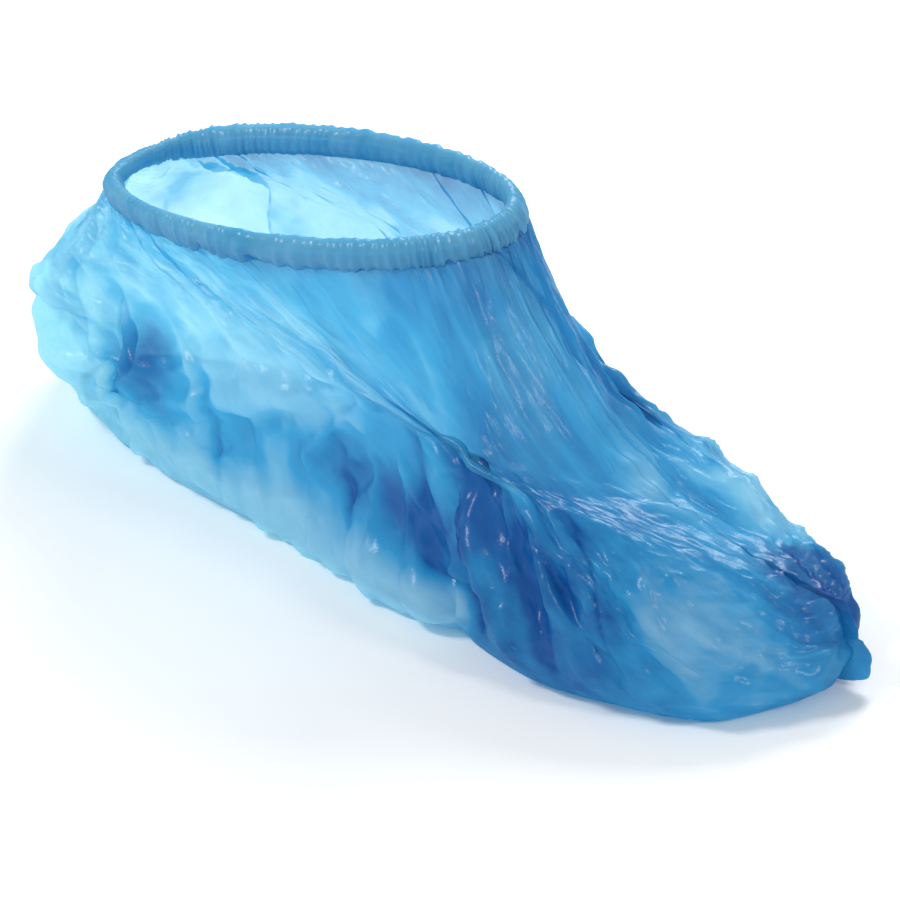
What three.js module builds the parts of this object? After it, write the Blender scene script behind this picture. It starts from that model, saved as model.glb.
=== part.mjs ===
// Disposable film overshoe as worn, standing on its sole. +X toe, +Y inner side of the foot, +Z up. Sizes in mm.
import * as THREE from 'three';

const cover = {
  halfLength: 150,      // half the length of the sole bag on the floor
  halfWidth: 50,        // half its width at the ball
  rimHeight: 98,        // floor to the highest line of the sides, which the section heights are shares of
  rimDrop: 6,           // the middle of the rim lies this much under that line
  rimRise: 13,          // the rim is this much higher in front and lower behind
  rimCentre: -53, rimHalfLength: 73, rimHalfWidth: 39,
  looseness: 10,        // how far a full belly stands out past the sole border
  vampSag: 24,          // the film sinks this far between toe box and rim
  cornerPull: 8,        // rounds the corner between sole and wall
  film: 1.2,            // wall of the construction, the real film is far thinner
  foldSpan: 110,        // wall length used for the fold table
  foldWidth: 10, foldLift: 6,
  originX: -7.23, originY: -3.36,  // moves the centre of the outline onto the origin
};

const weld = { reach: 5, earReach: 1.5, halfFoot: 1.5, halfTop: 0.7, topShare: 0.62 };
const gathers = { count: 24, lift: 1.7, down: 19, spread: 7, calm: 8 };   // down, spread, calm: mm below the rim
const hem = { gapHalf: 2.05, wall: 1.1, below: 4.4, above: 5, ripple: 0.55, crown: 2.6 };
const band = { radius: 1.3, height: 2.0, sides: 5 };

// a row per section around the loop, from the toe tip by the outer side, the heel and the inner side
// borderX, shoulderX: shares of halfLength; borderY, shoulderY: of halfWidth; bellyOut: of looseness;
// bellyUp, shoulderUp: of rimHeight; rimTurn: share of a full turn around the rim
const sections = [
  { name: 'toe tip',       borderX:  0.915, borderY:  0.200, bellyOut: 0.5, bellyUp:  0.130, shoulderX:  0.790, shoulderY:  0.16, shoulderUp:  0.320, rimTurn: 0.000 },
  { name: 'toe outer',     borderX:  0.887, borderY: -0.32, bellyOut: 0.5, bellyUp:  0.150, shoulderX:  0.760, shoulderY: -0.16, shoulderUp:  0.375, rimTurn: 0.030 },
  { name: 'toe corner',    borderX:  0.800, borderY: -0.67, bellyOut: 0.4, bellyUp: 0.153, shoulderX:  0.693, shoulderY: -0.40, shoulderUp:  0.420, rimTurn: 0.065 },
  { name: 'ball outer',    borderX:  0.560, borderY: -0.92, bellyOut: 0.4, bellyUp: 0.173, shoulderX:  0.520, shoulderY: -0.64, shoulderUp:  0.490, rimTurn: 0.115 },
  { name: 'pinch front',   borderX:  0.373, borderY: -0.910, bellyOut: 0.4, bellyUp: 0.173, shoulderX:  0.320, shoulderY: -0.76, shoulderUp: 0.560, rimTurn: 0.180 },
  { name: 'pinch',         borderX:  0.282, borderY: -0.800, bellyOut: 0.2, bellyUp: 0.140, shoulderX:  0.220, shoulderY: -0.77, shoulderUp: 0.580, rimTurn: 0.212 },
  { name: 'pinch back',    borderX:  0.187, borderY: -0.840, bellyOut: 0.5, bellyUp: 0.122, shoulderX:  0.120, shoulderY: -0.80, shoulderUp: 0.600, rimTurn: 0.245 },
  { name: 'waist outer',   borderX: -0.167, borderY: -0.740, bellyOut:  0.500, bellyUp: 0.102, shoulderX: -0.187, shoulderY: -0.82, shoulderUp: 0.610, rimTurn: 0.320 },
  { name: 'heel outer',    borderX: -0.567, borderY: -0.680, bellyOut:  0.800, bellyUp: 0.204, shoulderX: -0.573, shoulderY: -0.78, shoulderUp: 0.620, rimTurn: 0.405 },
  { name: 'heel corner',   borderX: -0.855, borderY: -0.460, bellyOut:  1.200, bellyUp:  0.330, shoulderX: -0.885, shoulderY: -0.620, shoulderUp: 0.580, rimTurn: 0.455 },
  { name: 'heel back',     borderX: -0.980, borderY:  0.00, bellyOut:  1.050, bellyUp: 0.347, shoulderX: -0.980, shoulderY:  0.00, shoulderUp: 0.570, rimTurn: 0.500 },
  { name: 'heel inner',    borderX: -0.813, borderY:  0.58, bellyOut: 0.7, bellyUp: 0.265, shoulderX: -0.820, shoulderY:  0.60, shoulderUp: 0.620, rimTurn: 0.550 },
  { name: 'waist inner',   borderX: -0.333, borderY:  0.72, bellyOut: 0.6, bellyUp: 0.184, shoulderX: -0.347, shoulderY:  0.76, shoulderUp: 0.610, rimTurn: 0.635 },
  { name: 'arch inner',    borderX:  0.067, borderY:  0.76, bellyOut: 0.6, bellyUp: 0.184, shoulderX:  0.027, shoulderY:  0.76, shoulderUp: 0.600, rimTurn: 0.740 },
  { name: 'ball inner',    borderX:  0.500, borderY:  0.86, bellyOut: 0.5, bellyUp: 0.194, shoulderX:  0.460, shoulderY:  0.60, shoulderUp:  0.445, rimTurn: 0.870 },
  { name: 'toe inner',     borderX:  0.765, borderY:  0.640, bellyOut: 0.5, bellyUp: 0.143, shoulderX:  0.680, shoulderY:  0.44, shoulderUp:  0.340, rimTurn: 0.950 },
];

// a row per fold seen in the photo: ends as shares of the loop and of the wall, width of foldWidth, lift of foldLift
const folds = [
  { name: 'long diagonal fold',   fromLoop: 0.207, fromUp: 0.40, toLoop: 0.156, toUp: 0.11, width: 0.75, lift:  1.20 },
  { name: 'valley before it',     fromLoop: 0.192, fromUp: 0.44, toLoop: 0.138, toUp: 0.13, width: 0.70, lift: -1.00 },
  { name: 'waist lobe',           fromLoop: 0.285, fromUp: 0.15, toLoop: 0.207, toUp: 0.12, width: 1.40, lift:  0.60 },
  { name: 'valley over the lobe', fromLoop: 0.300, fromUp: 0.30, toLoop: 0.215, toUp: 0.27, width: 0.90, lift: -0.80 },
  { name: 'pinch',                fromLoop: 0.190, fromUp: 0.22, toLoop: 0.186, toUp: 0.05, width: 0.55, lift: -1.10 },
  { name: 'forefoot fold a',      fromLoop: 0.172, fromUp: 0.50, toLoop: 0.116, toUp: 0.08, width: 0.60, lift:  0.60 },
  { name: 'forefoot fold b',      fromLoop: 0.145, fromUp: 0.48, toLoop: 0.096, toUp: 0.10, width: 0.60, lift:  0.50 },
  { name: 'forefoot fold c',      fromLoop: 0.118, fromUp: 0.52, toLoop: 0.074, toUp: 0.12, width: 0.60, lift:  0.40 },
  { name: 'toe gather outer',     fromLoop: 0.985, fromUp: 0.46, toLoop: 0.022, toUp: 0.10, width: 0.55, lift:  0.45 },
  { name: 'toe gather inner',     fromLoop: 0.950, fromUp: 0.46, toLoop: 0.975, toUp: 0.10, width: 0.60, lift:  0.70 },
  { name: 'toe dent',             fromLoop: 0.966, fromUp: 0.42, toLoop: 0.985, toUp: 0.12, width: 0.55, lift: -0.60 },
  { name: 'instep crease low',    fromLoop: 0.055, fromUp: 0.70, toLoop: 0.965, toUp: 0.62, width: 0.55, lift:  0.50 },
  { name: 'instep crease high',   fromLoop: 0.030, fromUp: 0.79, toLoop: 0.940, toUp: 0.72, width: 0.55, lift:  0.55 },
  { name: 'inner ball bump',      fromLoop: 0.905, fromUp: 0.62, toLoop: 0.935, toUp: 0.45, width: 0.80, lift:  0.60 },
  { name: 'heel crease',          fromLoop: 0.500, fromUp: 0.26, toLoop: 0.430, toUp: 0.31, width: 0.60, lift: -1.00 },
  { name: 'heel upper lobe',      fromLoop: 0.492, fromUp: 0.395, toLoop: 0.440, toUp: 0.41, width: 1.20, lift:  0.70 },
  { name: 'heel lower lobe',      fromLoop: 0.490, fromUp: 0.14, toLoop: 0.436, toUp: 0.17, width: 0.80, lift:  0.50 },
  { name: 'heel upright crease',  fromLoop: 0.424, fromUp: 0.50, toLoop: 0.419, toUp: 0.16, width: 0.50, lift: -0.75 },
  { name: 'heel flap',            fromLoop: 0.410, fromUp: 0.32, toLoop: 0.428, toUp: 0.15, width: 0.50, lift:  0.55 },
  { name: 'outer side drape a',   fromLoop: 0.350, fromUp: 0.60, toLoop: 0.330, toUp: 0.20, width: 0.80, lift:  0.45 },
  { name: 'outer side drape b',   fromLoop: 0.262, fromUp: 0.62, toLoop: 0.252, toUp: 0.34, width: 0.80, lift:  0.45 },
  { name: 'inner side drape a',   fromLoop: 0.590, fromUp: 0.62, toLoop: 0.610, toUp: 0.16, width: 0.90, lift:  0.60 },
  { name: 'inner side drape b',   fromLoop: 0.700, fromUp: 0.60, toLoop: 0.735, toUp: 0.16, width: 0.90, lift:  0.60 },
  { name: 'inner side drape c',   fromLoop: 0.800, fromUp: 0.52, toLoop: 0.838, toUp: 0.14, width: 0.80, lift:  0.55 },
  { name: 'inner waist lobe',     fromLoop: 0.650, fromUp: 0.15, toLoop: 0.760, toUp: 0.14, width: 1.20, lift:  0.60 },
];

const turnOf = (share) => share * 2 * Math.PI;
const clamp = (v, low, high) => Math.min(high, Math.max(low, v));
const smooth = (low, high, v) => { const t = clamp((v - low) / (high - low), 0, 1); return t * t * (3 - 2 * t); };

function spline(a, b, c, d, f) {
  return 0.5 * (2 * b + (c - a) * f + (2 * a - 5 * b + 4 * c - d) * f * f + (3 * b - a - 3 * c + d) * f * f * f);
}

function sectionAt(place, column) {
  const count = sections.length;
  const whole = Math.floor(place), f = place - whole;
  const read = (k) => {
    const turns = Math.floor(k / count);
    const value = sections[k - turns * count][column];
    return column === 'rimTurn' ? value + turns : value;
  };
  return spline(read(whole - 1), read(whole), read(whole + 1), read(whole + 2), f);
}

const borderAt = (place) => [
  cover.halfLength * sectionAt(place, 'borderX'), cover.halfWidth * sectionAt(place, 'borderY')];

const loopTable = (() => {                       // arc length along the sole border against the section index
  const rows = [[0, 0]], steps = 3000;
  let before = borderAt(0), length = 0;
  for (let i = 1; i <= steps; i += 1) {
    const place = sections.length * i / steps, now = borderAt(place);
    length += Math.hypot(now[0] - before[0], now[1] - before[1]);
    rows.push([length, place]);
    before = now;
  }
  return { rows, length };
})();

function placeAt(share) {                        // share of the loop -> section index
  const goal = (share - Math.floor(share)) * loopTable.length, rows = loopTable.rows;
  let low = 0, high = rows.length - 1;
  while (high - low > 1) {
    const mid = (low + high) >> 1;
    if (rows[mid][0] <= goal) low = mid; else high = mid;
  }
  const f = (goal - rows[low][0]) / (rows[high][0] - rows[low][0]);
  return rows[low][1] + f * (rows[high][1] - rows[low][1]);
}

function shareOfSection(index) {                 // section index -> share of the loop
  const step = index / sections.length * (loopTable.rows.length - 1);
  return loopTable.rows[Math.round(step)][0] / loopTable.length;
}

function outwardAt(share) {                      // level direction out of the loop
  const place = placeAt(share);
  const a = borderAt(place - 0.01), b = borderAt(place + 0.01);
  const dx = b[0] - a[0], dy = b[1] - a[1], length = Math.hypot(dx, dy);
  return [-dy / length, dx / length];
}

const knots = [0, 0.16, 0.52, 0.76, 1];
function wallLine(share) {                       // the unfolded wall: border, belly, shoulder, sag, rim
  const place = placeAt(share);
  const [bx, by] = borderAt(place);
  const [nx, ny] = outwardAt(share);
  const out = cover.looseness * sectionAt(place, 'bellyOut');
  const turn = turnOf(sectionAt(place, 'rimTurn'));
  const border = [bx, by, 0];
  const belly = [bx + nx * out, by + ny * out, cover.rimHeight * sectionAt(place, 'bellyUp')];
  const shoulder = [cover.halfLength * sectionAt(place, 'shoulderX'),
    cover.halfWidth * sectionAt(place, 'shoulderY'), cover.rimHeight * sectionAt(place, 'shoulderUp')];
  const rim = [cover.rimCentre + cover.rimHalfLength * Math.cos(turn), -cover.rimHalfWidth * Math.sin(turn),
    cover.rimHeight - cover.rimDrop + cover.rimRise * Math.cos(turn)];
  const between = shoulder.map((v, k) => (v + rim[k]) / 2);
  between[2] -= cover.vampSag * Math.max(0, Math.cos(turn));
  const under = cover.cornerPull + 0.6 * out;
  const start = [bx - nx * under, by - ny * under, 4];
  const end = rim.map((v, k) => 2 * v - between[k]);
  return [start, border, belly, shoulder, between, rim, end];
}

function wallPoint(share, up) {
  const line = wallLine(share);
  let k = 0;
  while (k < 3 && up > knots[k + 1]) k += 1;
  const f = (up - knots[k]) / (knots[k + 1] - knots[k]);
  return [0, 1, 2].map((i) => spline(line[k][i], line[k + 1][i], line[k + 2][i], line[k + 3][i], f));
}

function foldLift(share, up) {                   // height of all folds at a place of the wall
  let sum = 0;
  for (const fold of folds) {
    let run = fold.toLoop - fold.fromLoop;
    run -= Math.round(run);
    let off = share - fold.fromLoop;
    off -= Math.round(off - run / 2);
    const ax = run * loopTable.length, ay = (fold.toUp - fold.fromUp) * cover.foldSpan;
    const px = off * loopTable.length, py = (up - fold.fromUp) * cover.foldSpan;
    const length = Math.hypot(ax, ay), along = (px * ax + py * ay) / length, side = (px * ay - py * ax) / length;
    const past = Math.max(0, -along, along - length), width = cover.foldWidth * fold.width;
    const near = (side * side + 1.4 * past * past) / (width * width);
    if (near < 9) sum += cover.foldLift * fold.lift * Math.exp(-near) * (1 - 0.35 * Math.abs(2 * clamp(along / length, 0, 1) - 1));
  }
  const line = wallLine(share);
  const down = (1 - up) / (1 - knots[3]) * Math.hypot(...line[5].map((v, k) => v - line[4][k]));
  const wave = Math.exp(-(((down - gathers.down) / gathers.spread) ** 2));
  sum += gathers.lift * wave * Math.cos(turnOf(share * gathers.count));
  return sum * smooth(0, 0.10, up) * smooth(gathers.calm, gathers.calm + 5, down);
}

// columns around the loop, closer together where the two welds stand
const seams = ['toe tip', 'heel back'].map((name) => shareOfSection(sections.findIndex((row) => row.name === name)));
const footShare = weld.halfFoot / loopTable.length, topShareOfLoop = weld.halfTop / loopTable.length;
const columns = (() => {
  const list = [];
  const arcs = [[seams[0], seams[1]], [seams[1], seams[0] + 1]];
  for (const [from, to] of arcs) {
    list.push({ share: from - topShareOfLoop, fin: 1, seam: from }, { share: from + topShareOfLoop, fin: 1, seam: from });
    const first = from + footShare, last = to - footShare, steps = 48;
    for (let i = 0; i <= steps; i += 1) list.push({ share: first + (last - first) * i / steps, fin: 0 });
  }
  return list;
})();

const soleRings = [0.4, 0.75, 0.95];
const wallRows = [0, 0.025, 0.06, 0.10, 0.145, 0.19, 0.24, 0.29, 0.34, 0.39, 0.445, 0.50, 0.56, 0.62, 0.68, 0.745, 0.81, 0.87, 0.93, 1];
const soleMiddle = [-8, -1];

function gridOfWall() {
  return wallRows.map((up) => columns.map(({ share }) => wallPoint(share, up)));
}

const minus = (a, b) => [a[0] - b[0], a[1] - b[1], a[2] - b[2]];
const cross = (a, b) => [a[1] * b[2] - a[2] * b[1], a[2] * b[0] - a[0] * b[2], a[0] * b[1] - a[1] * b[0]];
const unit = (a) => { const l = Math.hypot(...a); return a.map((v) => v / l); };
const move = (a, n, by) => [a[0] + n[0] * by, a[1] + n[1] * by, a[2] + n[2] * by];

function normalsOf(grid) {                       // outward normals of a closed band of rows
  return grid.map((row, r) => row.map((point, c) => {
    const across = minus(row[(c + 1) % row.length], row[(c + row.length - 1) % row.length]);
    const up = minus(grid[Math.min(grid.length - 1, r + 1)][c], grid[Math.max(0, r - 1)][c]);
    return unit(cross(up, across));
  }));
}

function foldedWall() {
  const base = gridOfWall(), normals = normalsOf(base);
  return base.map((row, r) => row.map((point, c) => {
    const moved = move(point, normals[r][c], foldLift(columns[c].share, wallRows[r]));
    moved[2] = Math.max(0, moved[2]);
    return moved;
  }));
}

function meshFrom(name, points, triangles, color) {
  const geometry = new THREE.BufferGeometry();
  const flat = [];
  for (const p of points) flat.push(p[0] - cover.originX, p[1] - cover.originY, p[2]);
  geometry.setAttribute('position', new THREE.Float32BufferAttribute(flat, 3));
  geometry.setIndex(triangles.flat());
  geometry.computeVertexNormals();
  const mesh = new THREE.Mesh(geometry, new THREE.MeshStandardMaterial({ color }));
  mesh.name = name;
  return mesh;
}

function filmBody() {
  const outer = foldedWall();
  const normals = normalsOf(outer);
  const inner = outer.map((row, r) => row.map((point, c) => {
    if (r === 0) {
      const [nx, ny] = outwardAt(columns[c].share);
      return [point[0] - nx * cover.film, point[1] - ny * cover.film, cover.film];
    }
    const moved = move(point, normals[r][c], -cover.film);
    moved[2] = Math.max(cover.film * (1 + 0.3 * Math.min(r, 3)), moved[2]);
    return moved;
  }));
  // the welds stand out of the finished outside as thin fins
  outer.forEach((row, r) => row.forEach((point, c) => {
    const { fin, seam } = columns[c];
    if (!fin) return;
    const up = wallRows[r];
    const reach = (weld.reach + weld.earReach * smooth(0.2, 0.03, up)) * smooth(weld.topShare, weld.topShare - 0.2, up)
      * (0.35 + 0.65 * smooth(0, 0.04, up));
    const [nx, ny] = outwardAt(seam);
    row[c] = [point[0] + nx * reach, point[1] + ny * reach, point[2]];
  }));
  const points = [], triangles = [], count = columns.length;
  const addRing = (ring) => { const at = points.length; points.push(...ring); return at; };
  const addBand = (low, high, flip) => {
    for (let c = 0; c < count; c += 1) {
      const n = (c + 1) % count;
      const faces = [[low + c, high + c, high + n], [low + c, high + n, low + n]];
      for (const [a, b, d] of faces) triangles.push(flip ? [a, d, b] : [a, b, d]);
    }
  };
  const skin = (rows, floor, flip) => {
    const starts = [];
    const middle = points.length;
    points.push([soleMiddle[0], soleMiddle[1], floor]);
    for (const share of soleRings) {
      starts.push(addRing(rows[0].map((p) => [
        soleMiddle[0] + (p[0] - soleMiddle[0]) * share, soleMiddle[1] + (p[1] - soleMiddle[1]) * share, floor])));
    }
    for (const row of rows) starts.push(addRing(row));
    for (let c = 0; c < count; c += 1) {
      const n = (c + 1) % count, face = [middle, starts[0] + c, starts[0] + n];
      triangles.push(flip ? [face[0], face[2], face[1]] : face);
    }
    for (let k = 1; k < starts.length; k += 1) addBand(starts[k - 1], starts[k], flip);
    return starts[starts.length - 1];
  };
  const outerTop = skin(outer, 0, false);
  const innerTop = skin(inner, cover.film, true);
  addBand(outerTop, innerTop, false);
  return { mesh: meshFrom('film_body', points, triangles, 0x5ab4e0), outer, inner };
}

// frames of the rim line, used by the casing and the band
function rimFrames(outer, inner) {
  const plain = columns.map((col, c) => c).filter((c) => !columns[c].fin);
  const top = outer.length - 1;
  const centre = plain.map((c) => outer[top][c].map((v, k) => (v + inner[top][c][k]) / 2));
  return plain.map((c, i) => {
    const along = unit(minus(centre[(i + 1) % centre.length], centre[(i + centre.length - 1) % centre.length]));
    const rise = minus(wallPoint(columns[c].share, 1), wallPoint(columns[c].share, 0.94));
    const out = unit(cross(rise, along));
    return { point: centre[i], out, up: unit(cross(along, out)), share: columns[c].share };
  });
}

function ringFrom(name, frames, sectionOf, color) {
  const points = [], triangles = [];
  frames.forEach((frame) => sectionOf(frame).forEach(([side, high]) =>
    points.push(move(move(frame.point, frame.out, side), frame.up, high))));
  const count = points.length / frames.length;
  for (let i = 0; i < frames.length; i += 1) {
    const next = (i + 1) % frames.length;
    for (let k = 0; k < count; k += 1) {
      const m = (k + 1) % count;
      const [a, b, c, d] = [i * count + k, i * count + m, next * count + m, next * count + k];
      triangles.push([a, c, b], [a, d, c]);
    }
  }
  return meshFrom(name, points, triangles, color);
}

function hemCasing(frames) {                     // turned-over hem: an upside-down channel over rim and band
  return ringFrom('hem_casing', frames, ({ share }) => {
    const wave = hem.ripple * Math.cos(turnOf(share * gathers.count * 2));
    const side = hem.gapHalf + hem.wall + Math.max(0, wave), back = hem.gapHalf + hem.wall + Math.max(0, -wave);
    const roof = hem.above - hem.wall;
    return [[-back, -hem.below], [-hem.crown, hem.above], [hem.crown, hem.above], [side, -hem.below],
      [hem.gapHalf, -hem.below], [hem.gapHalf, roof], [-hem.gapHalf, roof], [-hem.gapHalf, -hem.below]];
  }, 0x6cc4ea);
}

function elasticBand(frames) {
  const round = Array.from({ length: band.sides }, (_, k) => {
    const a = -turnOf(k / band.sides) - Math.PI / 2;
    return [band.radius * Math.cos(a), band.height + band.radius * Math.sin(a)];
  });
  return ringFrom('elastic_band', frames, () => round, 0xf2f2ee);
}

const part = new THREE.Group();
part.name = 'shoe_cover';
const body = filmBody();
const frames = rimFrames(body.outer, body.inner);
part.add(body.mesh, hemCasing(frames), elasticBand(frames));

export default part;
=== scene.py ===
from math import cos, pi, radians, sin

import bmesh
import bpy
import numpy as np
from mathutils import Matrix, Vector


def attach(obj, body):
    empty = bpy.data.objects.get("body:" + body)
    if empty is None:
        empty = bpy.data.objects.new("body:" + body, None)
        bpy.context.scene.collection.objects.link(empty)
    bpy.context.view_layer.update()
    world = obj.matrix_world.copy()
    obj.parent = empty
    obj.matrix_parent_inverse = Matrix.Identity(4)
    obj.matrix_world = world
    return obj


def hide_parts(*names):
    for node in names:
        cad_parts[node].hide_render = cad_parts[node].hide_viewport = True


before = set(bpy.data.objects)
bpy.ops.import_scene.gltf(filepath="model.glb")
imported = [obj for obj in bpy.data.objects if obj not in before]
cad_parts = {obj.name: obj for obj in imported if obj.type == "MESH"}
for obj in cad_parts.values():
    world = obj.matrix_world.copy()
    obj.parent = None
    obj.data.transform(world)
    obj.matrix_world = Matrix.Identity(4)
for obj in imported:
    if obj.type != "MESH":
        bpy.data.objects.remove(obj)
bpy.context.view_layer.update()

scene = bpy.context.scene
scene.view_settings.view_transform = "Standard"
mm = 0.001


# camera: looks at the outer side from above the floor, with the toe at the right of the picture
cameraSizes = dict(turn=42.0, rise=30.0, distance=1500.0, frameWidth=263.2, sensor=36.0,
                   aimX=8.2, aimY=4.0, aimUp=26.4)


def makeCamera():
    s = cameraSizes
    turn, rise = radians(s["turn"]), radians(s["rise"])
    towards = Vector((sin(turn) * cos(rise), -cos(turn) * cos(rise), sin(rise)))
    aim = Vector((s["aimX"], s["aimY"], s["aimUp"])) * mm
    camera = bpy.data.objects.new("camera", bpy.data.cameras.new("camera"))
    camera.location = aim + towards * s["distance"] * mm
    camera.rotation_euler = (-towards).to_track_quat("-Z", "Y").to_euler()
    camera.data.sensor_width = s["sensor"]
    camera.data.lens = s["sensor"] * s["distance"] / s["frameWidth"]
    camera.data.clip_start, camera.data.clip_end = 0.02, 20.0
    scene.collection.objects.link(camera)
    scene.camera = camera


# worn form of the cover: the same named sizes and tables as in the construction, in mm
coverSizes = dict(halfLength=150.0, halfWidth=50.0, rimHeight=98.0, rimDrop=6.0, rimRise=13.0,
                  rimCentre=-53.0, rimHalfLength=73.0, rimHalfWidth=39.0, looseness=10.0, vampSag=24.0,
                  cornerPull=8.0,
                  foldSpan=110.0, foldWidth=10.0, foldLift=6.0, originX=-7.23, originY=-3.36)

sectionColumns = ("borderX", "borderY", "bellyOut", "bellyUp",
                  "shoulderX", "shoulderY", "shoulderUp", "rimTurn")
sectionRows = (  # a row per section around the loop, as shares of the sizes above
    ("toe tip", 0.915, 0.200, 0.5, 0.130, 0.790, 0.16, 0.320, 0.000),
    ("toe outer", 0.887, -0.32, 0.5, 0.150, 0.760, -0.16, 0.375, 0.030),
    ("toe corner", 0.800, -0.67, 0.4, 0.153, 0.693, -0.40, 0.420, 0.065),
    ("ball outer", 0.560, -0.92, 0.4, 0.173, 0.520, -0.64, 0.490, 0.115),
    ("pinch front", 0.373, -0.910, 0.4, 0.173, 0.320, -0.76, 0.560, 0.180),
    ("pinch", 0.282, -0.800, 0.2, 0.140, 0.220, -0.77, 0.580, 0.212),
    ("pinch back", 0.187, -0.840, 0.5, 0.122, 0.120, -0.80, 0.600, 0.245),
    ("waist outer", -0.167, -0.740, 0.500, 0.102, -0.187, -0.82, 0.610, 0.320),
    ("heel outer", -0.567, -0.680, 0.800, 0.204, -0.573, -0.78, 0.620, 0.405),
    ("heel corner", -0.855, -0.460, 1.200, 0.330, -0.885, -0.620, 0.580, 0.455),
    ("heel back", -0.980, 0.00, 1.050, 0.347, -0.980, 0.00, 0.570, 0.500),
    ("heel inner", -0.813, 0.58, 0.7, 0.265, -0.820, 0.60, 0.620, 0.550),
    ("waist inner", -0.333, 0.72, 0.6, 0.184, -0.347, 0.76, 0.610, 0.635),
    ("arch inner", 0.067, 0.76, 0.6, 0.184, 0.027, 0.76, 0.600, 0.740),
    ("ball inner", 0.500, 0.86, 0.5, 0.194, 0.460, 0.60, 0.445, 0.870),
    ("toe inner", 0.765, 0.640, 0.5, 0.143, 0.680, 0.44, 0.340, 0.950),
)

foldColumns = ("fromLoop", "fromUp", "toLoop", "toUp", "width", "lift")
foldRows = (  # a row per fold: ends as shares of the loop and of the wall
    ("long diagonal fold", 0.207, 0.40, 0.156, 0.11, 0.75, 1.20),
    ("valley before it", 0.192, 0.44, 0.138, 0.13, 0.70, -1.00),
    ("waist lobe", 0.285, 0.15, 0.207, 0.12, 1.40, 0.60),
    ("valley over the lobe", 0.300, 0.30, 0.215, 0.27, 0.90, -0.80),
    ("pinch", 0.190, 0.22, 0.186, 0.05, 0.55, -1.10),
    ("forefoot fold a", 0.172, 0.50, 0.116, 0.08, 0.60, 0.60),
    ("forefoot fold b", 0.145, 0.48, 0.096, 0.10, 0.60, 0.50),
    ("forefoot fold c", 0.118, 0.52, 0.074, 0.12, 0.60, 0.40),
    ("toe gather outer", 0.985, 0.46, 0.022, 0.10, 0.55, 0.45),
    ("toe gather inner", 0.950, 0.46, 0.975, 0.10, 0.60, 0.70),
    ("toe dent", 0.966, 0.42, 0.985, 0.12, 0.55, -0.60),
    ("instep crease low", 0.055, 0.70, 0.965, 0.62, 0.55, 0.50),
    ("instep crease high", 0.030, 0.79, 0.940, 0.72, 0.55, 0.55),
    ("inner ball bump", 0.905, 0.62, 0.935, 0.45, 0.80, 0.60),
    ("heel crease", 0.500, 0.26, 0.430, 0.31, 0.60, -1.00),
    ("heel upper lobe", 0.492, 0.395, 0.440, 0.41, 1.20, 0.70),
    ("heel lower lobe", 0.490, 0.14, 0.436, 0.17, 0.80, 0.50),
    ("heel upright crease", 0.424, 0.50, 0.419, 0.16, 0.50, -0.75),
    ("heel flap", 0.410, 0.32, 0.428, 0.15, 0.50, 0.55),
    ("outer side drape a", 0.350, 0.60, 0.330, 0.20, 0.80, 0.45),
    ("outer side drape b", 0.262, 0.62, 0.252, 0.34, 0.80, 0.45),
    ("inner side drape a", 0.590, 0.62, 0.610, 0.16, 0.90, 0.60),
    ("inner side drape b", 0.700, 0.60, 0.735, 0.16, 0.90, 0.60),
    ("inner side drape c", 0.800, 0.52, 0.838, 0.14, 0.80, 0.55),
    ("inner waist lobe", 0.650, 0.15, 0.760, 0.14, 1.20, 0.60),
)
sections = np.array([row[1:] for row in sectionRows], float)
sectionCount = len(sectionRows)
knots = np.array([0.0, 0.16, 0.52, 0.76, 1.0])  # shares of the wall at border, belly, shoulder, sag and rim


def tableOf(columns, rows):
    return [dict(zip(columns, row)) for row in rows]


folds = tableOf(foldColumns, [row[1:] for row in foldRows])


def spline(a, b, c, d, f):
    square = (2 * a - 5 * b + 4 * c - d) * f * f
    return 0.5 * (2 * b + (c - a) * f + square + (3 * b - a - 3 * c + d) * f ** 3)


def smooth(low, high, value):
    t = np.clip((value - low) / (high - low), 0.0, 1.0)
    return t * t * (3 - 2 * t)


def sectionAt(place, column):
    whole = np.floor(place).astype(int)
    values = sections[:, sectionColumns.index(column)]

    def read(k):
        found = values[k % sectionCount]
        return found + k // sectionCount if column == "rimTurn" else found
    return spline(read(whole - 1), read(whole), read(whole + 1), read(whole + 2), place - whole)


def borderAt(place):
    s = coverSizes
    return s["halfLength"] * sectionAt(place, "borderX"), s["halfWidth"] * sectionAt(place, "borderY")


loopPlaces = np.linspace(0, sectionCount, 3001)
loopX, loopY = borderAt(loopPlaces)
loopArc = np.concatenate([[0.0], np.cumsum(np.hypot(np.diff(loopX), np.diff(loopY)))])
loopLength = loopArc[-1]


def placeAt(share):
    return np.interp(np.mod(share, 1.0) * loopLength, loopArc, loopPlaces)


def shareOfSection(index):
    return np.interp(index, loopPlaces, loopArc) / loopLength


def outwardAt(share):
    place = placeAt(share)
    ax, ay = borderAt(place - 0.01)
    bx, by = borderAt(place + 0.01)
    length = np.hypot(bx - ax, by - ay)
    return -(by - ay) / length, (bx - ax) / length


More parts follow.
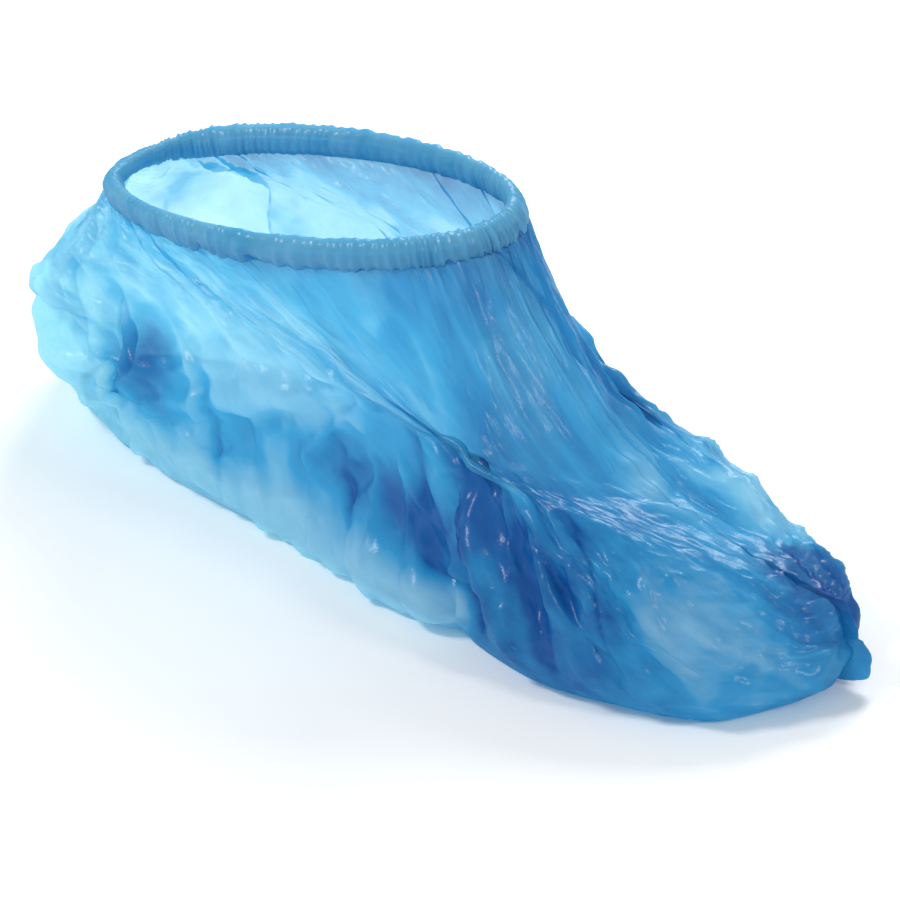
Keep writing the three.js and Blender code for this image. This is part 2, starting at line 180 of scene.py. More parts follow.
def wallLine(share):  # border, belly, shoulder, sag and rim, with a point before and after for the spline
    s = coverSizes
    place = placeAt(share)
    bx, by = borderAt(place)
    nx, ny = outwardAt(share)
    out = s["looseness"] * sectionAt(place, "bellyOut")
    turn = sectionAt(place, "rimTurn") * 2 * pi
    zero = np.zeros_like(bx)
    border = np.stack([bx, by, zero], -1)
    belly = np.stack([bx + nx * out, by + ny * out, s["rimHeight"] * sectionAt(place, "bellyUp")], -1)
    shoulder = np.stack([s["halfLength"] * sectionAt(place, "shoulderX"),
                         s["halfWidth"] * sectionAt(place, "shoulderY"),
                         s["rimHeight"] * sectionAt(place, "shoulderUp")], -1)
    rim = np.stack([s["rimCentre"] + s["rimHalfLength"] * np.cos(turn), -s["rimHalfWidth"] * np.sin(turn),
                    s["rimHeight"] - s["rimDrop"] + s["rimRise"] * np.cos(turn)], -1)
    between = (shoulder + rim) / 2
    between[..., 2] -= s["vampSag"] * np.maximum(0, np.cos(turn))
    under = s["cornerPull"] + 0.6 * out
    start = np.stack([bx - nx * under, by - ny * under, zero + 4], -1)
    return [start, border, belly, shoulder, between, rim, 2 * rim - between]


def wallPoints(share, up):  # share and up are grids of one shape
    line = np.stack(wallLine(share), 0)
    k = np.clip(np.searchsorted(knots, up, side="right") - 1, 0, 3)
    f = ((up - knots[k]) / (knots[k + 1] - knots[k]))[..., None]
    picked = []
    for step in range(4):
        index = np.broadcast_to((k + step)[None, ..., None], (1,) + line.shape[1:])
        picked.append(np.take_along_axis(line, index, 0)[0])
    return spline(*picked, f)


def belowRim(share, up):  # distance under the rim, in mm
    line = wallLine(share)
    return (1 - up) / (1 - knots[3]) * np.linalg.norm(line[5] - line[4], axis=-1)


def foldLift(share, up, table, crisp=0.0):  # crisp runs from a round fold, 0, to a sharp crest, 1
    total = np.zeros_like(share)
    for fold in table:
        run = fold["toLoop"] - fold["fromLoop"]
        run -= np.round(run)
        off = share - fold["fromLoop"]
        off = off - np.round(off - run / 2)
        ax, ay = run * loopLength, (fold["toUp"] - fold["fromUp"]) * coverSizes["foldSpan"]
        px, py = off * loopLength, (up - fold["fromUp"]) * coverSizes["foldSpan"]
        length = np.hypot(ax, ay)
        along, side = (px * ax + py * ay) / length, (px * ay - py * ax) / length
        past = np.maximum(0, np.maximum(-along, along - length))
        near = (side ** 2 + 1.4 * past ** 2) / (coverSizes["foldWidth"] * fold["width"]) ** 2
        crest = np.exp(-near) * (1 - crisp) + crisp * np.exp(-1.7 * (np.sqrt(near + 0.01) - 0.1))
        ends = np.abs(2 * np.clip(along / length, 0, 1) - 1)
        total += coverSizes["foldLift"] * fold["lift"] * crest * (1 - (0.35 + 0.4 * crisp) * ends)
    return total * smooth(0, 0.10, up)


def gridNormals(grid):  # rows go up the wall, columns go round
    across = np.roll(grid, -1, 1) - np.roll(grid, 1, 1)
    up = np.gradient(grid, axis=0)
    normal = np.cross(up, across)
    return normal / (np.linalg.norm(normal, axis=-1, keepdims=True) + 1e-9)


def smoothNoise(share, up, seed, waves, span=1.0):  # seeded sum of waves, closed around the loop
    rng = np.random.default_rng(seed)
    total = np.zeros_like(share)
    for _ in range(waves):
        turns = rng.integers(3, 42)
        rise = rng.normal(0, 1) * turns * 0.22 * span
        total += np.cos(2 * pi * (turns * share + rise * up + rng.random())) / waves ** 0.5
    return total


def creases(share, up, seed, count, shortest, longest, angle=None, spread=0.2):  # sharp straight creases
    rng = np.random.default_rng(seed)
    total = np.zeros_like(share)
    for _ in range(count):
        wave = np.exp(rng.uniform(np.log(shortest), np.log(longest)))
        turned = rng.uniform(0, pi) if angle is None else angle + rng.normal() * spread
        around = round(loopLength * cos(turned) / wave)
        rise = coverSizes["foldSpan"] * sin(turned) / wave
        warp = 0.3 * np.sin(2 * pi * (rng.integers(2, 7) * share + up * rng.uniform(-2, 2) + rng.random()))
        crest = 0.64 - np.abs(np.sin(pi * (around * share + rise * up + rng.random() + warp)))
        mask = smooth(-0.2, 0.8, smoothNoise(share, up, int(rng.integers(1, 99999)), 5, 2.0))
        total += rng.choice([-1.0, 1.0]) * crest * mask * wave / 20
    return total / count ** 0.5


pleatSizes = dict(short=46, cross=71, long=21, shortHeight=1.9, shortDrop=15.0,
                  longHeight=2.8, longDrop=20.0)


def pleats(share, down):  # irregular gathers that hang from the elastic
    s = pleatSizes
    bend = 0.9 * np.sin(2 * pi * 5 * share + down * 0.02) + 0.5 * np.sin(2 * pi * 11 * share + 1)
    short = 0.6 - np.abs(np.sin(pi * s["short"] * share + bend))
    short = short + 0.45 * np.cos(2 * pi * s["cross"] * share - 1.4 * bend)
    long = 0.6 - np.abs(np.sin(pi * s["long"] * share + 1.2 * bend + 0.4))
    strength = 0.55 + 0.45 * np.sin(2 * pi * 3 * share + 1.1) * np.sin(2 * pi * 8 * share)
    fade = np.exp(-((down - 3) / s["shortDrop"]) ** 2)
    hung = np.exp(-((down - s["longDrop"]) / s["longDrop"]) ** 2)
    return s["shortHeight"] * short * strength * fade + s["longHeight"] * long * hung


def meshObject(name, points, faces, smoothFaces=True):
    mesh = bpy.data.meshes.new(name)
    mesh.from_pydata([tuple(p) for p in points], [], faces)
    mesh.polygons.foreach_set("use_smooth", [smoothFaces] * len(mesh.polygons))
    mesh.update()
    piece = bpy.data.objects.new(name, mesh)
    scene.collection.objects.link(piece)
    return piece


def toFrame(points):  # mm around the section table's origin to metres in the frame
    return (points - np.array([coverSizes["originX"], coverSizes["originY"], 0.0])) * mm


def gridFaces(rows, columns, first=0, closed=True):
    r, c = np.meshgrid(np.arange(rows - 1), np.arange(columns if closed else columns - 1), indexing="ij")
    n = (c + 1) % columns
    low, high = r * columns, (r + 1) * columns
    quads = np.stack([low + c, high + c, high + n, low + n], -1) + first
    return [tuple(q) for q in quads.reshape(-1, 4).tolist()]


# film bag: draped over a hidden form in a cloth simulation, then given its fine folds
filmSizes = dict(columns=288, rows=66, refine=2, span=130.0, soleRings=22, soleCrease=1.5, soleCreases=14,
                 seamPucker=0.35, drawnIn=0.9, sharpTurn=0.42, middle=(-8.0, -1.0, 0.0))
drapeSizes = dict(scale=10.0, frames=26, soleRings=(0.0, 0.2, 0.4, 0.58, 0.74, 0.86, 0.94, 0.98),
                  extra=0.075, mostMove=8.0, heldLow=0.8, heldHigh=0.75,
                  leastTurn=0.62)  # cosine, as sharpTurn is
clothSizes = dict(quality=6, mass=0.12, stretch=22, shear=12, bending=0.35, damping=8, bendingDamping=1.2,
                  air=2.0, gravity=0.6, clearance=0.006, outside=0.004, inside=0.05, friction=12)
formGap = dict(toe=1.6, ball=2.4, waist=8.0, heel=6.5, top=3.0)  # mm from the plain film to the hidden form
# values along the bag: places in mm, then the value at each
slackAlong = ((-150, -60, 20, 60, 100, 140), (1.0, 0.9, 0.9, 0.45, 0.5, 0.9))
heldAlong = ((-100, -80, 42, 56), (0.3, 1.0, 1.0, 0.2))


def gapAt(share, up):
    x = wallPoints(share, up)[..., 0]
    g = formGap
    low = np.interp(x, [-150, -90, 0, 45, 75, 140],
                    [g["heel"], g["heel"], g["waist"], g["waist"] * 0.6, g["ball"], g["toe"]])
    return low + (g["top"] - low) * smooth(0.55, 0.95, up)


def filmGrid(columns, rows):
    share, up = np.meshgrid(np.arange(columns) / columns, np.linspace(0, 1, rows + 1))
    return share.astype(float), up.astype(float)


def bagMesh(name, grid, rings, middle, scale=1.0, soleLift=None):
    columns = grid.shape[1]
    border = grid[0]
    sole = [middle + (border - middle) * ring * np.array([1, 1, 0.0]) for ring in rings[1:]]
    if soleLift is not None:
        for ring, row in zip(rings[1:], sole):
            row[:, 2] += soleLift(row[:, 0], row[:, 1]) * smooth(0.995, 0.85, ring)
    points = np.concatenate([[middle]] + sole + [row for row in grid])
    total = len(sole) + grid.shape[0]
    faces = [(0, 1 + c, 1 + (c + 1) % columns) for c in range(columns)] + gridFaces(total, columns, 1)
    return meshObject(name, points * scale, faces), len(sole)


def blurred(field, times):
    for _ in range(times):
        padded = np.concatenate([field[:1], field, field[-1:]])
        field = 0.25 * padded[:-2] + 0.5 * field + 0.25 * padded[2:]
        field = 0.25 * np.roll(field, 1, 1) + 0.5 * field + 0.25 * np.roll(field, -1, 1)
    return field


def mended(grid, change, leastTurn, rounds):  # smooths a change wherever it would fold the surface over
    plain = gridNormals(grid)
    for _ in range(rounds):
        turned = (gridNormals(grid + change) * plain).sum(-1)
        bad = (turned < leastTurn).astype(float)
        if not bad.any():
            break
        bad = np.clip(blurred(bad[..., None], 3) * 4, 0, 1)
        change = change * (1 - bad) + blurred(change, 2) * bad
    return change


def addCloth(film, form):  # the film falls onto the form and takes up its slack
    c = clothSizes
    cloth = film.modifiers.new("Cloth", "CLOTH")
    has = cloth.settings
    has.quality, has.mass = c["quality"], c["mass"]
    has.tension_stiffness = has.compression_stiffness = c["stretch"]
    has.shear_stiffness, has.bending_stiffness = c["shear"], c["bending"]
    has.tension_damping = has.compression_damping = has.shear_damping = c["damping"]
    has.bending_damping, has.air_damping = c["bendingDamping"], c["air"]
    has.vertex_group_mass, has.pin_stiffness = "pin", 1.0
    has.shrink_min, has.shrink_max = 0.0, -drapeSizes["extra"]
    has.vertex_group_shrink = "loose"
    has.effector_weights.gravity = c["gravity"]
    cloth.collision_settings.collision_quality = 2
    cloth.collision_settings.distance_min = c["clearance"]
    cloth.collision_settings.use_self_collision = False
    cloth.point_cache.frame_start, cloth.point_cache.frame_end = 1, drapeSizes["frames"]
    form.modifiers.new("Collision", "COLLISION")
    form.collision.thickness_outer, form.collision.thickness_inner = c["outside"], c["inside"]
    form.collision.cloth_friction = c["friction"]


def drapeFilm(share, up):
    s = drapeSizes
    base = wallPoints(share, up)
    folded = base + gridNormals(base) * foldLift(share, up, folds)[..., None]
    down = belowRim(share, up)
    uneven = smoothNoise(share, up, seed=3, waves=60) * 0.5 * smooth(0, 0.1, up) * smooth(2, 14, down)
    folded += gridNormals(folded) * uneven[..., None]
    folded[..., 2] = np.maximum(folded[..., 2], 0.0)
    scale = s["scale"] * mm
    middle = np.array(filmSizes["middle"])
    inner = base - gridNormals(base) * gapAt(share, up)[..., None]
    inner[..., 2] = np.maximum(inner[..., 2], 0.4)
    keep = np.arange(0, up.shape[0], 2)
    form, _ = bagMesh("hidden_form", inner[keep][:, ::2], s["soleRings"], middle + [0, 0, 0.4], scale)
    film, soleCount = bagMesh("film_sim", folded, s["soleRings"], middle, scale)
    columns = share.shape[1]
    pin = film.vertex_groups.new(name="pin")
    pin.add(list(range(0, 1 + (soleCount - 1) * columns)), 1.0, "REPLACE")
    count = len(film.data.vertices)
    pin.add(list(range(count - 2 * columns, count)), 1.0, "REPLACE")
    loose = film.vertex_groups.new(name="loose")
    x = folded[..., 0]
    slack = np.maximum(np.interp(x, *slackAlong) * smooth(0.0, 0.05, up), 0.02)
    slack *= 1 - 0.6 * smooth(14, 4, down)
    first = 1 + soleCount * columns
    for step in range(10):
        picked = np.nonzero(((slack.ravel() * 9.99).astype(int)) == step)[0]
        if len(picked):
            loose.add((picked + first).tolist(), (step + 0.5) / 10, "REPLACE")
    addCloth(film, form)
    for step in range(1, s["frames"] + 1):
        scene.frame_set(step)
    cooked = film.evaluated_get(bpy.context.evaluated_depsgraph_get())
    result = np.empty(count * 3)
    cooked.data.vertices.foreach_get("co", result)
    result = result.reshape(-1, 3)[first:].reshape(folded.shape) / scale
    scene.frame_set(1)
    for old in (film, form):
        data = old.data
        bpy.data.objects.remove(old)
        bpy.data.meshes.remove(data)
    change = result - folded
    size = np.linalg.norm(change, axis=-1, keepdims=True)
    change *= np.minimum(1.0, s["mostMove"] / (size + 1e-9))
    print("film: draped, mean move", round(float(size.mean()), 2), "mm")
    # the edge on the floor and the top of the heel keep the plain outline
    low = smooth(0.26, 0.06, up) * np.interp(x, *heldAlong)
    high = smooth(-80, -110, x) * smooth(0.42, 0.58, up)
    change *= (1 - s["heldLow"] * low - s["heldHigh"] * high * (1 - low))[..., None]
    moved = folded + mended(folded, change, s["leastTurn"], 14)
    moved[..., 2] = np.maximum(moved[..., 2], 0.0)
    return moved


def refineGrid(grid, steps):  # Catmull-Rom between the draped points, closed around the loop
    f = (np.arange(steps) / steps)[None, :, None, None]
    a, b, c, d = (np.roll(grid, shift, 1)[:, None] for shift in (1, 0, -1, -2))
    around = spline(a, b, c, d, f).transpose(0, 2, 1, 3).reshape(grid.shape[0], -1, 3)
    padded = np.concatenate([2 * around[:1] - around[1:2], around, 2 * around[-1:] - around[-2:-1]])
    f = (np.arange(steps) / steps)[None, :, None, None]
    a, b, c, d = (padded[k:k + around.shape[0] - 1][:, None] for k in range(4))
    upward = spline(a, b, c, d, f).reshape(-1, around.shape[1], 3)
    return np.concatenate([upward, around[-1:]])


# fine tension lines and crinkles over the drape: ends as shares of the loop and of the wall
fineFolds = tableOf(foldColumns, (
    (0.205, 0.46, 0.186, 0.20, 0.26, 0.42), (0.200, 0.50, 0.172, 0.10, 0.24, 0.36),
    (0.186, 0.52, 0.150, 0.06, 0.26, 0.42), (0.176, 0.56, 0.136, 0.06, 0.22, -0.34),
    (0.164, 0.54, 0.126, 0.05, 0.22, 0.34), (0.152, 0.56, 0.108, 0.05, 0.20, 0.32),
    (0.138, 0.54, 0.098, 0.05, 0.20, -0.30), (0.127, 0.56, 0.085, 0.06, 0.20, 0.28),
    (0.112, 0.58, 0.066, 0.08, 0.18, 0.24), (0.096, 0.60, 0.050, 0.10, 0.18, 0.22),
    (0.230, 0.44, 0.215, 0.22, 0.24, -0.32), (0.240, 0.40, 0.228, 0.14, 0.22, 0.30),
    (0.262, 0.34, 0.248, 0.08, 0.22, 0.32), (0.285, 0.36, 0.262, 0.05, 0.20, -0.28),
    (0.305, 0.30, 0.285, 0.05, 0.20, 0.28), (0.335, 0.30, 0.318, 0.04, 0.20, 0.24),
    (0.365, 0.34, 0.352, 0.05, 0.20, -0.26), (0.392, 0.30, 0.375, 0.05, 0.18, 0.28),
    # heel: upright crease, flap, valley between the lobes, glints above
    (0.4215, 0.49, 0.4195, 0.27, 0.17, -0.55), (0.4175, 0.47, 0.4150, 0.28, 0.16, 0.40),
    (0.4255, 0.44, 0.4235, 0.31, 0.13, 0.35), (0.4265, 0.29, 0.4245, 0.15, 0.22, 0.50),
    (0.4205, 0.285, 0.4200, 0.15, 0.16, -0.55), (0.440, 0.275, 0.424, 0.29, 0.18, -0.35),
    (0.494, 0.31, 0.434, 0.37, 0.24, -0.45), (0.490, 0.34, 0.440, 0.405, 0.20, 0.25),
    (0.466, 0.485, 0.438, 0.445, 0.20, 0.45), (0.462, 0.455, 0.436, 0.420, 0.16, -0.40),
    (0.470, 0.53, 0.446, 0.49, 0.18, 0.30),
    # lobes that run down to the pinch
    (0.232, 0.17, 0.196, 0.09, 0.26, 0.45), (0.224, 0.21, 0.192, 0.14, 0.20, -0.40),
    (0.214, 0.23, 0.188, 0.17, 0.20, 0.35), (0.246, 0.13, 0.210, 0.05, 0.22, -0.30),
))


# where the film is lighter or deeper, mostly painted light on lobes and crests and painted shade in hollows
# and valleys: middle and reach as shares of the loop and of the wall
toneColumns = ("name", "share", "up", "shareReach", "upReach", "deeper")
toneSpots = tableOf(toneColumns, (
    # heel: painted shade in the hollow, between the lobes and up the heel; painted light on the lobe, the
    # flap and the top
    ("heel hollow", 0.406, 0.33, 0.017, 0.12, 0.62),
    ("heel lobe", 0.448, 0.29, 0.020, 0.07, -0.20),
    ("valley between lobes", 0.462, 0.37, 0.030, 0.025, 0.25),
    ("heel flap", 0.4250, 0.22, 0.0035, 0.05, -0.35),
    ("heel top", 0.452, 0.47, 0.016, 0.03, -0.25),
    ("upper heel", 0.445, 0.58, 0.02, 0.05, 0.22),
    # pinch: painted light on the lobe and the long fold, painted shade behind and in the pinch
    ("lobe at the pinch", 0.214, 0.115, 0.022, 0.035, -0.35),
    ("behind the pinch", 0.212, 0.26, 0.020, 0.06, 0.22),
    ("pinch", 0.186, 0.16, 0.006, 0.09, 0.35),
    ("long fold", 0.176, 0.20, 0.006, 0.07, -0.25),
    # toe: deeper where the film bunches, partly more layers of film and partly painted shade; painted light
    # at its end and beside it
    ("toe bunch", 0.972, 0.40, 0.014, 0.09, 0.60),
    ("toe end", 0.992, 0.30, 0.008, 0.06, -0.30),
    ("beside the toe", 0.955, 0.50, 0.022, 0.07, -0.25),
    ("ball", 0.135, 0.30, 0.030, 0.16, 0.18),
    ("ball low", 0.125, 0.10, 0.035, 0.08, 0.20),
    ("toe middle", 0.055, 0.38, 0.035, 0.16, -0.22),
    # instep: painted shade at the low crease, painted highlight at the high one
    ("instep low", 0.010, 0.60, 0.035, 0.03, 0.06),
    ("instep high", 0.005, 0.73, 0.030, 0.03, -0.15),
))

# short sharp creases, set out at random in each region: angle in degrees, lengths in mm
creaseColumns = ("name", "share", "shareSpread", "up", "upSpread", "angle", "angleSpread",
                 "length", "width", "height", "count")
creaseRegions = tableOf(creaseColumns, (
    ("heel low", 0.440, 0.035, 0.15, 0.12, 20, 35, 26, 1.4, 0.7, 14),
    ("heel high", 0.440, 0.035, 0.44, 0.20, 70, 40, 24, 1.4, 0.8, 20),
    ("heel sunk", 0.440, 0.04, 0.32, 0.16, -60, 25, 26, 1.2, -0.5, 10),
    ("waist strip", 0.290, 0.08, 0.10, 0.07, 35, 16, 24, 1.1, 0.8, 56),
    ("waist", 0.300, 0.10, 0.35, 0.18, 40, 18, 34, 1.9, 1.0, 36),
    ("outer throat", 0.220, 0.10, 0.66, 0.14, 75, 18, 28, 1.7, 0.9, 40),
    ("forefoot", 0.125, 0.06, 0.30, 0.20, 45, 6, 74, 1.8, 0.5, 34),
    ("forefoot sunk", 0.130, 0.06, 0.30, 0.20, 45, 6, 66, 1.6, -0.5, 28),
    ("toe", 0.995, 0.030, 0.22, 0.16, 80, 22, 18, 1.3, 0.35, 22),
    ("toe inner", 0.955, 0.03, 0.30, 0.20, 60, 30, 18, 1.3, 0.5, 36),
    ("instep", 0.004, 0.022, 0.73, 0.07, 5, 10, 24, 1.1, 0.6, 22),
    ("vamp", 0.000, 0.09, 0.85, 0.10, 80, 16, 26, 1.6, 0.8, 44),
    ("heel far", 0.520, 0.04, 0.45, 0.28, 80, 26, 26, 1.8, 0.6, 16),
    ("inner side", 0.710, 0.14, 0.45, 0.32, 75, 28, 30, 1.8, 0.9, 80),
    ("inner drapes", 0.710, 0.13, 0.48, 0.24, 68, 16, 66, 4.5, 1.9, 22),
    ("inner sunk", 0.710, 0.13, 0.48, 0.24, 68, 16, 60, 4.0, -1.7, 16),
    ("outer drapes", 0.310, 0.07, 0.50, 0.18, 46, 9, 64, 2.2, 0.7, 18),
    ("outer sunk", 0.310, 0.07, 0.50, 0.18, 50, 12, 56, 3.0, -0.7, 14),
))


def scatteredCreases(share, seed):
    rng = np.random.default_rng(seed)
    total = np.zeros_like(share)
    rows, columns = share.shape
    for region in creaseRegions:
        for _ in range(region["count"]):
            middle = region["share"] + rng.normal() * region["shareSpread"]
            level = abs(region["up"] + rng.uniform(-1, 1) * region["upSpread"])
            turned = radians(region["angle"] + rng.normal() * region["angleSpread"])
            long = region["length"] * rng.uniform(0.5, 1.5)
            wide = region["width"] * rng.uniform(0.6, 1.5)
            high = region["height"] * rng.uniform(0.4, 1.5)
            bend, lean = rng.normal() * 0.006, rng.uniform(1.0, 3.2)
            reach = 0.5 * long + 6 * wide
            around = int(reach / loopLength * columns) + 1
            above = int(reach / filmSizes["span"] * rows) + 1
            column, row = int(round(middle * columns)), int(level * rows)
            first, last = max(0, row - above), min(rows, row + above + 1)
            if first >= last:
                continue
            picked = np.arange(column - around, column + around + 1) % columns
            du = (np.arange(-around, around + 1) / columns * loopLength)[None, :]
            dv = ((np.arange(first, last) - row) / rows * filmSizes["span"])[:, None]
            along = du * cos(turned) + dv * sin(turned)
            side = dv * cos(turned) - du * sin(turned) + bend * along ** 2
            flank = np.where(side > 0, wide * lean, wide)
            crest = np.exp(-(np.sqrt(side ** 2 + 0.16 * wide ** 2) - 0.4 * wide) / flank)
            fade = smooth(0.5 * long, 0.15 * long, np.abs(along))
            total[first:last, picked] += high * crest * fade
    return total


# values along the bag, as above
baggyAlong = ((-150, -90, -40, 30, 55, 105, 125, 140), (0.5, 0.5, 0.4, 0.4, 0.18, 0.2, 0.5, 0.6))
toneAlong = ((-150, -125, -105, -60, 0, 45, 80, 115, 140),
             (0.02, 0.06, 0.30, 0.38, 0.44, 0.82, 0.68, 0.44, 0.50))
litStripAlong = ((-150, -90, 25, 42, 55), (0.6, 1.0, 1.0, 0.8, 0.0))
shadeOverStripAlong = ((-110, -80, 30, 50), (0.0, 1.0, 1.0, 0.4))
soleToneAlong = ((-140, -60, 0, 50, 100, 140), (0.15, 0.28, 0.40, 0.62, 0.55, 0.50))
crinkleSizes = dict(crumple=1.7, fineCrumple=0.8, slanting=1.3, slantingPart=0.8, heelCalm=0.55,
                    ridge=0.45, heelRidge=0.35, seamReach=10.0, seamWaves=15)
# the strip along the floor gets painted light, the band above it and the fold valleys painted shade, the
# crinkles and slanting creases both; bunch and gathered deepen partly for layered film and partly as painted
# shade
toneSizes = dict(innerFore=0.18, innerInstep=0.16, slanting=0.26, strip=0.8, shadeOverStrip=0.22, bunch=0.8,
                 valley=0.40, gathered=0.26, paintedCreaseShading=0.15)  # how far each makes the film lighter or deeper


def foreShare(x):  # 1 over the forefoot, 0 behind it and at the toe
    return smooth(15, 50, x) * smooth(135, 115, x)


def seamPucker(share, up):
    pucker = 0.0
    for seam in seamShares:
        off = (share - seam) - np.round(share - seam)
        reach = np.abs(off) * loopLength
        wave = np.cos(2 * pi * up * crinkleSizes["seamWaves"] + 2 * np.sin(up * 23) + reach * 0.25)
        pucker = pucker + np.exp(-(reach / crinkleSizes["seamReach"]) ** 1.3) * wave
    return pucker * filmSizes["seamPucker"] * smooth(0.01, 0.06, up) * smooth(0.72, 0.55, up)


def finishFilm(share, up, grid):
    s = crinkleSizes
    down = belowRim(share, up)
    normal = gridNormals(grid)
    fine = foldLift(share, up, fineFolds, crisp=0.8)
    x = grid[..., 0]
    front = foreShare(x)
    crumple = creases(share, up, seed=11, count=12, shortest=26, longest=60) * s["crumple"]
    crumple = crumple + creases(share, up, seed=12, count=14, shortest=10, longest=24) * s["fineCrumple"]
    slanting = creases(share, up, seed=13, count=14, shortest=16, longest=44, angle=-0.78, spread=0.12)
    slanting = slanting * s["slanting"]
    crinkle = crumple * np.interp(x, *baggyAlong)
    crinkle = crinkle + slanting * s["slantingPart"] * front * smooth(0.75, 0.5, up)
    crinkle = crinkle + scatteredCreases(share, seed=17)
    crinkle *= smooth(0.0, 0.05, up) * smooth(1, 10, down)
    crinkle *= 1 - s["heelCalm"] * np.exp(-((share - 0.485) / 0.025) ** 2)
    ridge = foldLift(share, up, folds, crisp=1.0) * (s["ridge"] + s["heelRidge"] * smooth(-100, -125, x))
    drawnIn = filmSizes["drawnIn"] * smooth(0.0, 0.08, up) * smooth(2, 14, down)
    lift = fine + crinkle + ridge + pleats(share, down) + seamPucker(share, up) - drawnIn
    out = grid + mended(grid, normal * lift[..., None], filmSizes["sharpTurn"], 6)
    out[..., 2] = np.maximum(out[..., 2], 0.0)
    return out, toneOf(share, up, grid, fine, crinkle, slanting)


# the tone holds painted light and shade besides the layering of the film
def toneOf(share, up, grid, fine, crinkle, slanting):  # 0 is one bright layer, 1 is bunched or shaded film
    s = toneSizes
    x, y, z = grid[..., 0], grid[..., 1], grid[..., 2]
    outer = smooth(0, -15, y)
    tone = np.interp(x, *toneAlong)
    tone = tone - s["innerFore"] * smooth(30, 80, x) * smooth(-10, 15, y) * smooth(125, 100, x)
    tone = tone + s["innerInstep"] * smooth(5, 25, y) * smooth(25, 60, z) * smooth(60, 20, x)
    # painted light and shade in bands along the slanting creases of the forefoot
    tone = tone + s["slanting"] * np.clip(slanting, -1, 1) * foreShare(x) * smooth(0.7, 0.45, up)
    # painted light: a lighter strip along the floor on the outer side, where the low wall faces down into
    # shade
    strip = np.exp(-((z - 7) / 10.0) ** 2) * np.interp(x, *litStripAlong) * outer
    tone = tone * (1 - s["strip"] * strip)
    for spot in toneSpots:
        off = (share - spot["share"]) - np.round(share - spot["share"])
        spread = (off / spot["shareReach"]) ** 2 + ((up - spot["up"]) / spot["upReach"]) ** 2
        tone = tone + spot["deeper"] * np.exp(-spread)
    # painted shade: a deeper band along the outer side above the lit strip
    shadeOverStrip = np.exp(-((z - 30) / 13.0) ** 2) * np.interp(x, *shadeOverStripAlong) * outer
    # deeper where the film bunches at the toe: partly more layers of film, partly painted shade in the
    # gathers
    bunch = np.exp(-((x - 124) / 17.0) ** 2 - ((y - 16) / 20.0) ** 2)
    # painted shade in the valleys of the folds
    valley = np.clip(-foldLift(share, up, folds) / 5.0 - fine * 0.6, 0, 1)
    # deeper in the gathers under the elastic: partly denser film, partly painted shade for the inside of the
    # mouth
    gathered = np.exp(-((belowRim(share, up) - 2) / 20.0) ** 2)
    tone = tone + s["shadeOverStrip"] * shadeOverStrip + s["bunch"] * bunch + s["valley"] * valley
    # painted light on the crests of the crinkles, painted shade in their hollows
    tone = tone + s["gathered"] * gathered - s["paintedCreaseShading"] * np.clip(crinkle, -1.5, 1.5)
    return np.clip(tone, 0, 1)


def soleLift(x, y):  # the empty sole lies on the floor in low creases
    total = 0.0
    rng = np.random.default_rng(21)
    for _ in range(filmSizes["soleCreases"]):
        angle, spacing = rng.uniform(0, pi), rng.uniform(18, 60)
        run = (x * cos(angle) + y * sin(angle)) / spacing
        mask = np.sin(x / rng.uniform(20, 50) + rng.random() * 6)
        mask = mask * np.sin(y / rng.uniform(15, 30) + rng.random() * 6)
        crest = np.maximum(0, 1 - 3.2 * np.abs(np.sin(pi * (run + rng.random() + 0.2 * mask))))
        total = total + crest * smooth(-0.1, 0.6, mask)
    return filmSizes["soleCrease"] * total


def makeFilm():
    s = filmSizes
    share, up = filmGrid(s["columns"], s["rows"])
    grid = drapeFilm(share, up)
    fineGrid = refineGrid(grid, s["refine"])
    share, up = filmGrid(s["columns"] * s["refine"], s["rows"] * s["refine"])
    fineGrid, tone = finishFilm(share, up, fineGrid)
    rings = [0.0] + [0.04 + 0.94 * k / (s["soleRings"] - 1) for k in range(s["soleRings"])]
    film, soleCount = bagMesh("film_bag", fineGrid, rings, np.array(s["middle"]), 1.0, soleLift)
    flat = np.empty(len(film.data.vertices) * 3)
    film.data.vertices.foreach_get("co", flat)
    film.data.vertices.foreach_set("co", toFrame(flat.reshape(-1, 3)).ravel())
    film.data.update()
    run = toFrame(flat.reshape(-1, 3))
    values = np.interp(run[:, 0] / mm, *soleToneAlong)
    wallRun = np.stack([share * loopLength, up * s["span"], 0 * share], -1).reshape(-1, 3) * mm
    run[-len(wallRun):] = wallRun
    runs = film.data.attributes.new("filmRun", "FLOAT_VECTOR", "POINT")
    runs.data.foreach_set("vector", run.ravel())
    values[1 + soleCount * share.shape[1]:] = tone.ravel()
    tones = film.data.attributes.new("filmTone", "FLOAT", "POINT")
    tones.data.foreach_set("value", values)
    print("film:", len(film.data.polygons), "faces")
    return film, share, up, fineGrid


seamShares = [shareOfSection(0), shareOfSection([row[0] for row in sectionRows].index("heel back"))]
makeCamera()
film, filmShare, filmUp, filmPoints = makeFilm()


# turned-over hem around the elastic
hemSizes = dict(halfGap=2.0, above=4.6, below=4.8, gathers=128, gather=0.8, pleat=0.45, uneven=0.25,
                mostWave=0.95, columns=864, around=14)
bandSizes = dict(radius=1.3, height=2.0, around=12, spacing=1.5, columns=360)


def rimFrames(columns):
    share = np.arange(columns) / columns
    centre = wallPoints(share, np.full(columns, 1.0))
    lower = wallPoints(share, np.full(columns, 0.94))
    along = np.roll(centre, -1, 0) - np.roll(centre, 1, 0)
    along /= np.linalg.norm(along, axis=-1, keepdims=True)
    out = np.cross(centre - lower, along)
    out /= np.linalg.norm(out, axis=-1, keepdims=True)
    middle = centre - out * 0.6
    return share, middle, out, np.cross(along, out)


